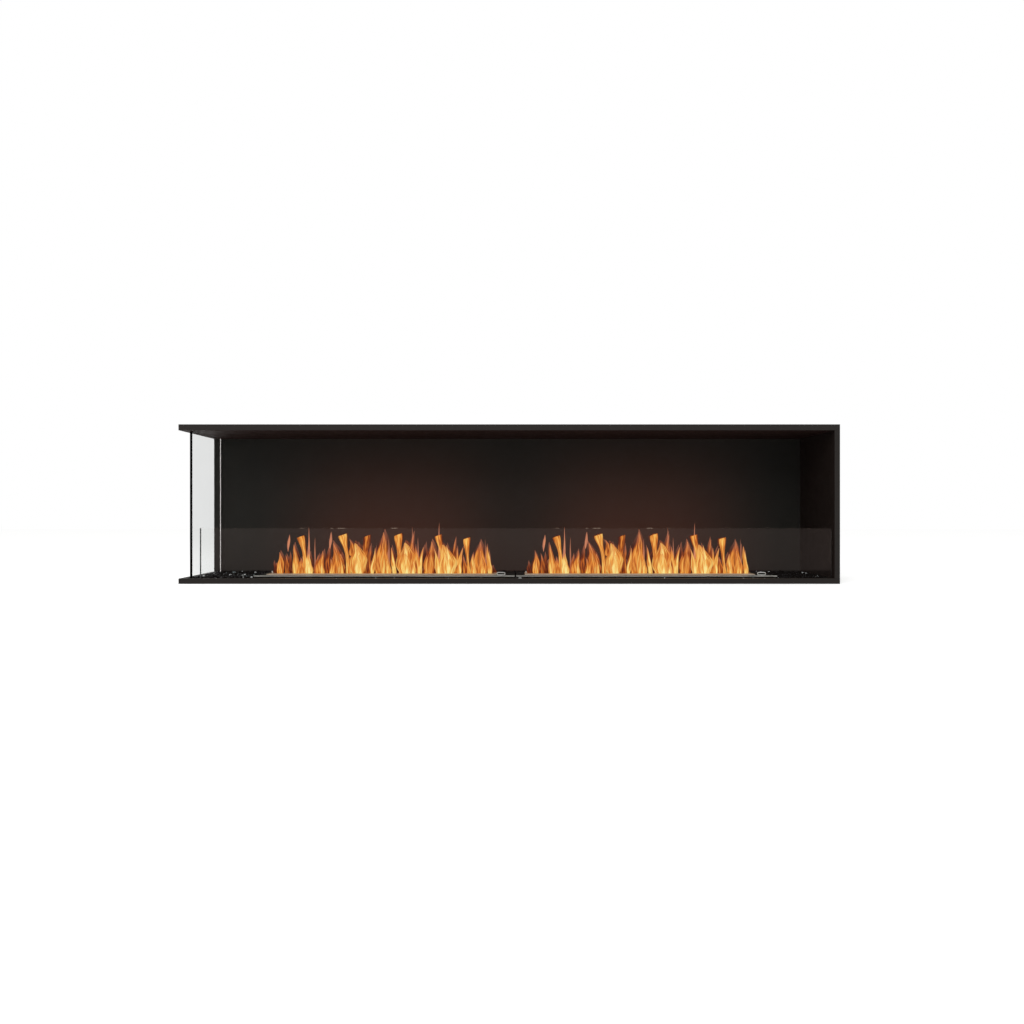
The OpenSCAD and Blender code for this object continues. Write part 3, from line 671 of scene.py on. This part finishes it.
def make_pane(node, name, face, thin_axis, edges, radius, band):
    """A pane with clear broad faces. edges lists (way it faces, finish) for its edges. The first
    one's finish also covers a band of the broad faces, where the glass hides what is behind."""
    bm = rounded_copy(node, radius, 4)
    ways = [Vector(way) for way, finish in edges]
    start = max(v.co.dot(ways[0]) for v in bm.verts) - band
    bmesh.ops.bisect_plane(bm, geom=bm.verts[:] + bm.edges[:] + bm.faces[:],
                           plane_co=ways[0] * start, plane_no=ways[0])
    for f in bm.faces:
        f.normal_update()
        if abs(f.normal[thin_axis]) < BROAD:
            flat = f.normal.copy()
            flat[thin_axis] = 0
            f.material_index = 1 + max(range(len(ways)), key=lambda k: flat.dot(ways[k]))
        elif f.calc_center_median().dot(ways[0]) > start:
            f.material_index = 1
    soften(bm)
    for f in bm.faces:
        f.smooth = abs(f.normal[thin_axis]) < BROAD
    piece = join_up(name, bm, [face] + [finishes[finish] for way, finish in edges], body_of(node))
    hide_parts(node)
    print(name, len(piece.data.polygons), "faces")


make_pane("side_glass", "side_pane", finishes["side_pane"], 0,
          [((0, -1, 0), "edge_dark"), ((0, 1, 0), "edge_lit"), ((0, 0, 1), "edge_faint"),
           ((0, 0, -1), "edge_dark")], radius=0.0006, band=0.0070)
# The low screen's upper edge wears painted reflections of the flames.
make_pane("front_screen", "low_screen", finishes["screen_pane"], 1,
          [((-1, 0, 0), "edge_light"), ((1, 0, 0), "edge_faint"), ((0, 0, 1), "edge_sparks"),
           ((0, 0, -1), "edge_dark")], radius=0.0024, band=0.0030)

# %% [markdown]
# ## Crushed glass
#
# The troughs round the burners hold broken black glass with a few clear pieces, whose glints
# are painted on them as pale and blue-grey tones. Each chunk is a small ball of twenty faces,
# pulled about and cut by planes so that it has flat, sharp sides. A dozen different chunks,
# each turned and stretched anew, are enough for thousands.
# They lie in two layers on a bed of fines, so that no gap shows the pan. The front trough is
# filled a little lower, so that the lip hides its glass from a low eye.

# %% Finish of the crushed glass
shards, wire = new_finish("crushed_glass")
tone = wire.node("ShaderNodeAttribute", {"attribute_name": "tone"}, output="Fac")
speck = grain(wire, place_on(wire), 0.002, 2.0)
black = blend(wire, speck, paint(1, 1, 1), paint(8, 8, 8))
smoke = blend(wire, tone.between(0.80, 0.96), black, paint(32, 31, 32))
# The pale and blue-grey tones are painted glints on the few clear pieces.
pale = blend(wire, tone.between(0.978, 0.980), smoke, paint(204, 205, 205))
tinted = blend(wire, tone.between(0.994, 0.996), pale, paint(128, 138, 140))
shade(wire, Base_Color=tinted, Roughness=speck.between(0.3, 0.7, 0.05, 0.16),
      Specular_IOR_Level=0.07,
      Normal=bump(wire, grain(wire, place_on(wire), 0.004, 1.0), 0.0003, 0.5))
finishes["crushed_glass"] = shards
print("crushed glass finish ready")

# %% A dozen chunks
# How far from the middle of a chunk, whose corners are about 1 away, the cuts pass
CUT_AT = 0.55


def make_chunk(seed):
    """One sharp chunk of about unit size, as a mesh."""
    dice = random.Random(seed)
    bm = bmesh.new()
    bmesh.ops.create_icosphere(bm, subdivisions=1, radius=1)
    for v in bm.verts:
        v.co *= dice.uniform(0.72, 1.08)
    for cut in range(3):
        way = Vector([dice.uniform(-1, 1) for part in range(3)]).normalized()
        bmesh.ops.bisect_plane(bm, geom=bm.verts[:] + bm.edges[:] + bm.faces[:],
                               plane_co=way * CUT_AT, plane_no=way, clear_outer=True)
        bmesh.ops.holes_fill(bm, edges=[e for e in bm.edges if e.is_boundary], sides=0)
    bmesh.ops.recalc_face_normals(bm, faces=bm.faces)
    mesh = bpy.data.meshes.new("chunk")
    bm.to_mesh(mesh)
    bm.free()
    return mesh


chunks = [make_chunk(seed) for seed in range(12)]
print("faces of the chunks:", [len(c.polygons) for c in chunks])

# %% Lay one chunk
TURN = 6.28


def lay_chunk(bm, dice, place, size, tone_layer):
    """Adds one turned and stretched chunk."""
    start = len(bm.verts)
    bm.from_mesh(dice.choice(chunks))
    bm.verts.ensure_lookup_table()
    fresh = bm.verts[start:]
    turn = (Matrix.Rotation(dice.uniform(0, TURN), 4, "X")
            @ Matrix.Rotation(dice.uniform(0, TURN), 4, "Z"))
    stretch = Matrix.Diagonal((size * dice.uniform(0.8, 1.25), size * dice.uniform(0.6, 0.95),
                               size * dice.uniform(0.6, 0.95), 1))
    spin = (Matrix.Rotation(dice.uniform(0, TURN), 4, "Z")
            @ Matrix.Rotation(dice.gauss(0, 0.35), 4, "Y"))
    bmesh.ops.transform(bm, matrix=Matrix.Translation(place) @ spin @ stretch @ turn, verts=fresh)
    tone = dice.random()
    for v in fresh:
        v[tone_layer] = tone


print("chunks to choose from:", len(chunks))

# %% Lay a bed of them
# Lowest and highest middle, pitch and size of the chunks of each layer, in metres
BED_LAYERS = ((0.0125, 0.0140, 0.0098, 0.0068), (0.0155, 0.0185, 0.0112, 0.0058))
BIG_SHARE = 0.12
PATCH_WIDTH = 0.06
# How far a chunk reaches at most, as a share of its size
REACH = 1.2


def lay_bed(whole, x0, x1, y0, y1, seed, level):
    """Fills a rectangle with two layers of chunks, patch by patch, raised by level."""
    dice = random.Random(seed)
    count = 0
    patches = max(1, round((x1 - x0) / PATCH_WIDTH))
    width = (x1 - x0) / patches
    for patch in range(patches):
        bm = bmesh.new()
        tone_layer = bm.verts.layers.float.new("tone")
        for low, high, pitch, size in BED_LAYERS:
            columns = max(1, round(width / pitch))
            rows = max(1, round((y1 - y0) / pitch))
            for i in range(columns):
                for j in range(rows):
                    big = dice.random() < BIG_SHARE
                    r = size * (dice.uniform(1.25, 1.6) if big else dice.uniform(0.6, 1.15))
                    x = x0 + width * (patch + (i + dice.uniform(0.15, 0.85)) / columns)
                    y = y0 + (y1 - y0) * (j + dice.uniform(0.15, 0.85)) / rows
                    x = min(max(x, x0 + r * REACH), x1 - r * REACH)
                    y = min(max(y, y0 + r * REACH), y1 - r * REACH)
                    z = max(dice.uniform(low, high) + level, r + 0.001)
                    lay_chunk(bm, dice, (x, y, z), r, tone_layer)
                    count += 1
        mesh = bpy.data.meshes.new("patch")
        bm.to_mesh(mesh)
        bm.free()
        whole.from_mesh(mesh)
        bpy.data.meshes.remove(mesh)
    return count


print("layers:", len(BED_LAYERS))

# %% The fines under them
# Lowest and highest level of the fines, and the distance between their points
FINES_BASE, FINES_TOP, FINES_CELL = 0.0032, 0.0118, 0.012


def lay_fines(bm, x0, x1, y0, y1, seed, level):
    """A low, uneven block of fines under the chunks."""
    dice = random.Random(seed)
    made = bmesh.ops.create_grid(bm, x_segments=max(2, round((x1 - x0) / FINES_CELL)),
                                 y_segments=max(2, round((y1 - y0) / FINES_CELL)), size=0.5)
    grid = made["verts"]
    bmesh.ops.scale(bm, vec=(x1 - x0, y1 - y0, 1), verts=grid)
    bmesh.ops.translate(bm, vec=((x0 + x1) / 2, (y0 + y1) / 2, FINES_BASE), verts=grid)
    faces = list({f for v in grid for f in v.link_faces})
    lifted = bmesh.ops.extrude_face_region(bm, geom=faces)["geom"]
    for v in [g for g in lifted if isinstance(g, bmesh.types.BMVert)]:
        v.co.z = FINES_TOP + level + dice.uniform(-0.001, 0.001)
    bmesh.ops.reverse_faces(bm, faces=[f for f in faces if f.is_valid and f.normal.z > 0])


print("fines up to", FINES_TOP, "m")

# %% The four beds
FRONT_DROP = 0.0042
BED_SEEDS = {"glass_bed_front": 101, "glass_bed_rear": 202, "glass_bed_left": 303,
             "glass_bed_right": 404}


def bed_areas(node):
    """The rectangles that a bed fills; the left one also has the piece in the front corner."""
    low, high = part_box(node)
    if node != "glass_bed_left":
        return [(low.x, high.x, low.y, high.y)]
    front_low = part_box("glass_bed_front")[0]
    corner_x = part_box("front_screen")[0].x - 0.0005
    main_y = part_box("plate_trim_left")[0].y - 0.001
    return [(front_low.x, high.x, main_y, high.y), (low.x, corner_x, low.y, front_low.y - 0.0005)]


for node, seed in BED_SEEDS.items():
    bm = bmesh.new()
    bm.verts.layers.float.new("tone")
    total = 0
    level = -FRONT_DROP if node == "glass_bed_front" else 0.0
    for k, (x0, x1, y0, y1) in enumerate(bed_areas(node)):
        lay_fines(bm, x0, x1, y0, y1, seed + k, level)
        total += lay_bed(bm, x0, x1, y0, y1, seed + k, level)
    piece = join_up(node + "_chunks", bm, [finishes["crushed_glass"]], "casing")
    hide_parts(node)
    print(node, total, "chunks", len(piece.data.polygons), "faces")

# %% [markdown]
# ## Fire
#
# Burning ethanol gives a row of soft, separate tongues, yellow where they are thick and hot
# and orange to brown where they thin out. Each tongue is a closed ball of rings drawn out
# into a leaf, a bulb, a thin spike, a flared ribbon or a torn-off wisp. A pale inner tongue
# sits in each wide one and a thin dark red one behind it. Two numbers are kept on the points,
# how hot and how thick the gas is there, and the finish turns them into a colour and an
# opacity. A third value runs across and along each tongue, so that the streaks in it
# follow its shape and meet at its tip, as they do in a real flame.

# %% Finish of the flames
flame, wire = new_finish("flame")
heat = wire.node("ShaderNodeAttribute", {"attribute_name": "hotness"}, output="Fac")
thick = wire.node("ShaderNodeAttribute", {"attribute_name": "thickness"}, output="Fac")
flow = wire.node("ShaderNodeAttribute", {"attribute_name": "flow"}, output="Vector")
rose = wire.node("ShaderNodeAttribute", {"attribute_name": "rosy"}, output="Fac")
streak = grain(wire, flow, 1.0, 1.5, 0.5)
lick = grain(wire, flow, 3.4, 2.0)
warm = heat + streak.between(0.33, 0.67, -0.27, 0.20) + (lick - 0.5) * 0.36
colour = wire.node("ShaderNodeValToRGB", {"stops": [
    (0.00, paint(58, 14, 6)), (0.18, paint(108, 36, 8)), (0.36, paint(182, 86, 24)),
    (0.52, paint(224, 130, 46)), (0.68, paint(240, 162, 72)), (0.84, paint(250, 204, 108)),
    (1.00, paint(255, 232, 150))]}, {"Fac": warm})
colour = blend(wire, rose, colour, paint(226, 146, 114))
dense = wire.maths("MINIMUM", thick * streak.between(0.3, 0.62, 0.72, 1.12), 1.0)
shade(wire, Base_Color=(0, 0, 0, 1), Roughness=1.0, Specular_IOR_Level=0.0, Emission_Color=colour,
      Emission_Strength=1.0, Alpha=dense)
finishes["flame"] = flame
print("flame finish ready")

# %% Tongues
# kind, place along the slot, width, top, lean, heat, thickness and foot, lengths in millimetres
TONGUES = [
    ("leaf", 5, 18, 71, -5, 0.12, 0.60, 14), ("leaf", 24, 27, 100, 0, 0.62, 0.95, 14),
    ("leaf", 48, 15, 91, -4, 0.45, 0.85, 14), ("wisp", 51, 9, 162, 5, 0.52, 0.62, 100),
    ("leaf", 60, 18, 103, -5, 0.15, 0.60, 14), ("leaf", 81, 25, 128, -4, 0.72, 0.93, 14),
    ("leaf", 100, 30, 80, -6, 0.52, 0.95, 14), ("flare", 113, 27, 154, -15, 0.66, 0.95, 14),
    ("spike", 122, 14, 190, 5, 0.52, 0.62, 14), ("leaf", 129, 28, 97, -2, 0.95, 0.95, 14),
    ("spike", 148, 10, 153, -2, 0.45, 0.38, 14), ("leaf", 154, 22, 91, 2, 0.48, 0.90, 14),
    ("leaf", 171, 24, 105, 1, 0.64, 0.93, 14), ("wisp", 200, 10, 172, 6, 0.52, 0.60, 110),
    ("leaf", 191, 18, 123, 3, 0.34, 0.75, 14), ("leaf", 206, 18, 78, 0, 0.72, 0.90, 14),
    ("leaf", 228, 44, 133, -10, 0.55, 0.93, 14), ("leaf", 242, 30, 94, -8, 0.60, 0.93, 14),
    ("flare", 266, 29, 160, -19, 0.70, 0.95, 14), ("hook", 276, 20, 143, 7, 0.60, 0.85, 85),
    ("bulb", 300, 59, 132, -6, 0.76, 0.95, 14), ("leaf", 308, 21, 129, -13, 0.98, 0.95, 14),
    ("wedge", 325, 26, 156, 1, 0.44, 0.75, 14), ("leaf", 338, 18, 124, 2, 0.42, 0.80, 14),
    ("leaf", 351, 16, 116, 12, 0.82, 0.93, 14), ("leaf", 387, 47, 171, -3, 0.58, 0.92, 14),
    ("leaf", 405, 28, 101, -4, 0.66, 0.93, 14), ("leaf", 369, 18, 85, 0, 0.68, 0.90, 14),
    ("spike", 406, 13, 146, 1, 0.20, 0.50, 14), ("leaf", 430, 17, 118, -15, 0.82, 0.93, 14),
    ("flare", 452, 29, 161, -16, 0.62, 0.95, 14), ("bulb", 471, 67, 134, -6, 0.76, 0.95, 14),
    ("leaf", 478, 21, 132, -17, 0.98, 0.95, 14), ("leaf", 497, 14, 75, 1, 0.92, 0.90, 14),
    ("spike", 491, 11, 190, 2, 0.48, 0.50, 14), ("leaf", 493, 25, 165, 2, 0.46, 0.82, 14),
    ("spike", 510, 11, 153, 3, 0.36, 0.50, 14), ("leaf", 515, 17, 122, -11, 0.62, 0.90, 14),
    ("leaf", 519, 17, 119, 11, 0.82, 0.93, 14), ("leaf", 544, 28, 137, -4, 0.16, 0.55, 14),
    ("leaf", 554, 44, 138, 5, 0.54, 0.92, 14), ("leaf", 542, 18, 91, 3, 0.62, 0.90, 14),
    ("leaf", 585, 18, 112, -15, 0.86, 0.93, 14), ("spike", 587, 13, 204, 1, 0.52, 0.62, 14),
    ("flare", 597, 26, 158, -11, 0.62, 0.95, 14), ("bulb", 614, 64, 127, -3, 0.76, 0.95, 14),
    ("leaf", 625, 21, 125, -14, 0.98, 0.95, 14), ("leaf", 595, 16, 82, 0, 0.96, 0.92, 14),
    ("leaf", 640, 19, 146, 2, 0.44, 0.80, 14), ("leaf", 656, 16, 116, -7, 0.60, 0.90, 14),
    ("leaf", 659, 18, 115, 11, 0.84, 0.93, 14), ("leaf", 680, 19, 83, -4, 0.48, 0.90, 14),
    ("flare", 693, 24, 148, -13, 0.64, 0.95, 14), ("leaf", 711, 24, 94, -6, 0.78, 0.93, 14),
    ("leaf", 734, 44, 137, -8, 0.54, 0.92, 14), ("leaf", 746, 24, 98, -7, 0.60, 0.92, 14),
    ("spike", 752, 9, 148, -1, 0.42, 0.36, 14), ("leaf", 767, 18, 123, -11, 0.86, 0.93, 14),
    ("spike", 768, 9, 110, -3, 0.62, 0.60, 14),
]
print("tongues:", len(TONGUES))

# %% Outline of each kind of tongue
def half_width(kind, t):
    """Half the width at the height t, both from 0 to 1."""
    if kind == "spike":
        return (1 - t) ** 0.8 * (0.55 + 0.45 * min(1, t / 0.3))
    if kind == "wisp":
        return math.sin(math.pi * t) ** 0.8
    if kind in ("flare", "wedge"):
        neck = 0.42 if kind == "flare" else 0.6
        if t < 0.5:
            return 0.6 + (neck - 0.6) * math.sin(t * math.pi)
        return neck + (1.0 - neck) * min(1, (t - 0.5) / 0.4) ** 1.25
    belly = 0.42 if kind == "bulb" else 0.33
    if t < belly:
        return 0.66 + 0.34 * math.sin(t / belly * math.pi / 2)
    return (1 - ((t - belly) / (1 - belly)) ** (1.9 if kind == "bulb" else 1.35)) ** 0.95


def drift(kind, t, phase):
    """How far the middle line strays sideways, as a share of the width."""
    sway = 0.15 * math.sin(t * 5.2 + phase) * t
    return sway - 1.1 * max(0, t - 0.72) ** 1.3 * 3 if kind == "hook" else sway


print("outline of a leaf:", [round(half_width("leaf", t / 8), 2) for t in range(9)])

# %% Draw one tongue
# Width and height of a tongue over which the pattern of its streaks runs once
STREAK_WIDE, STREAK_HIGH = 0.0125, 0.050


def draw_tongue(bm, kind, place, size, look, layers, phase, rim_fade=(0.6, 4), flat=0.32):
    """Adds one closed tongue. place is its foot, size its width and height, and look its lean,
    heat and density. It thins towards its rims by rim_fade, and flat is its depth to its width."""
    x0, y0, z0 = place
    width, height = size
    lean, hot, dense = look
    made = bmesh.ops.create_uvsphere(bm, u_segments=12, v_segments=16, radius=1)
    blunt = kind in ("flare", "wedge")
    for v in made["verts"]:
        t = math.acos(max(-1, min(1, -v.co.z))) / math.pi
        across = math.hypot(v.co.x, v.co.y)
        side = v.co.x / across if across > 1e-6 else 0.0
        depth = v.co.y / across if across > 1e-6 else 0.0
        half = half_width(kind, t) * width / 2 if across > 1e-6 else 0.0
        half *= 1 + 0.09 * math.sin(7 * t + phase) + 0.05 * math.sin(17 * t + 2.3 * phase)
        up = min(1, t / 0.93) if blunt else t
        slant = 0.17 * width * side * max(0, min(1, (t - 0.6) / 0.3)) if blunt else 0.0
        middle = lean * t ** 1.6 + drift(kind, t, phase) * width
        v.co = Vector((x0 + middle + side * half, y0 + depth * half * flat,
                       z0 + up * height + slant))
        rim = abs(side)
        cooling = 0.05 * t if blunt else (0.14 if kind == "bulb" else 0.30) * t ** 1.6
        thinning = (0.1 if blunt else 0.35) * t ** 3
        v[layers[0]] = hot * (1 - cooling) - 0.12 * rim ** 3 - 0.08 * max(0, 0.12 - t) / 0.12
        v[layers[1]] = dense * (1 - rim_fade[0] * rim ** rim_fade[1]) * (1 - thinning)
        v[layers[2]] = Vector((side * width / STREAK_WIDE, up * height / STREAK_HIGH,
                               phase * 5 + depth * 0.6))
        if kind in ("spike", "wisp"):
            v[layers[3]] = 0.75
        elif blunt:
            v[layers[3]] = 0.0
        else:
            v[layers[3]] = (0.12 if kind == "bulb" else 0.42) * max(0, t - 0.65) / 0.35


print("tongue maker ready")

# %% [markdown]
# ## Two rows of fire
#
# Both burners burn alike. The tongues stand at slightly different depths in the slot, so
# the row has thickness from the side. Between their feet a low, dark red fringe fills the
# gaps.

# %% Light both burners
FOOT = 0.014
FRINGE_COUNT = 36
SLOT_INSET = 0.010


def light_fire(side, seed):
    """The flames of one burner, as one piece."""
    dice = random.Random(seed)
    low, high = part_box("slot_frame_" + side)
    x_start, length = low.x + SLOT_INSET, high.x - low.x - 2 * SLOT_INSET
    y_near, y_far = low.y + 0.039, high.y - 0.027
    drift_right = 0.006 if side == "right" else 0.0
    bm = bmesh.new()
    kept = bm.verts.layers
    for name in ("hotness", "thickness", "rosy"):
        kept.float.new(name)
    kept.float_vector.new("flow")
    layers = (kept.float["hotness"], kept.float["thickness"], kept.float_vector["flow"],
              kept.float["rosy"])
    for k in range(FRINGE_COUNT):
        x = x_start + length * (k + dice.uniform(0.2, 0.8)) / FRINGE_COUNT
        size = (dice.uniform(0.022, 0.040), dice.uniform(0.024, 0.062))
        look = (dice.uniform(-0.004, 0.004), dice.uniform(0.10, 0.24), 0.6)
        draw_tongue(bm, "leaf", (x, y_far - 0.004, FOOT), size, look, layers, dice.uniform(0, 6))
    for kind, along, width, top, lean, hot, thick, foot in TONGUES:
        width, top, lean, foot = width / 1000, top / 1000, lean / 1000, foot / 1000
        reach = width * 0.16
        x = x_start + along / 1000 + drift_right
        x = min(max(x, x_start + width * 0.36), x_start + length - width * 0.36)
        y = y_near + (y_far - y_near) * (0.85 - 0.75 * hot + dice.uniform(-0.04, 0.04))
        y = min(max(y, y_near + reach), y_far - reach)
        phase = dice.uniform(0, 6)
        height = top - foot
        draw_tongue(bm, kind, (x, y, foot), (width, height), (lean, hot, thick), layers, phase)
        if thick > 0.7:
            wider, higher = (1.2, 1.01) if kind in ("flare", "wedge") else (1.5, 1.07)
            draw_tongue(bm, kind, (x, y_far, foot), (width * wider, height * higher),
                        (lean * 1.05, 0.14, 0.68), layers, phase, (0.9, 2), 0.03)
        if width > 0.022 and hot > 0.45 and kind in ("leaf", "bulb"):
            draw_tongue(bm, "leaf", (x + 0.06 * width, y - reach - 0.001, foot),
                        (width * 0.42, height * 0.72), (lean * 0.6, min(1.0, hot + 0.16), 0.8),
                        layers, phase + 1, (0.9, 2), 0.04)
    piece = join_up("flames_" + side, bm, [finishes["flame"]], "burner_" + side)
    for polygon in piece.data.polygons:
        polygon.use_smooth = True
    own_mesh(piece)
    print("flames_" + side, len(piece.data.polygons), "faces")


light_fire("left", 7)
light_fire("right", 7)

# %% [markdown]
# ## Last measures
#
# The chunk meshes that the beds were built from are removed. The dressed model has to
# stay inside the construction's box.

# %% Remove the chunk meshes
for chunk in chunks:
    bpy.data.meshes.remove(chunk)
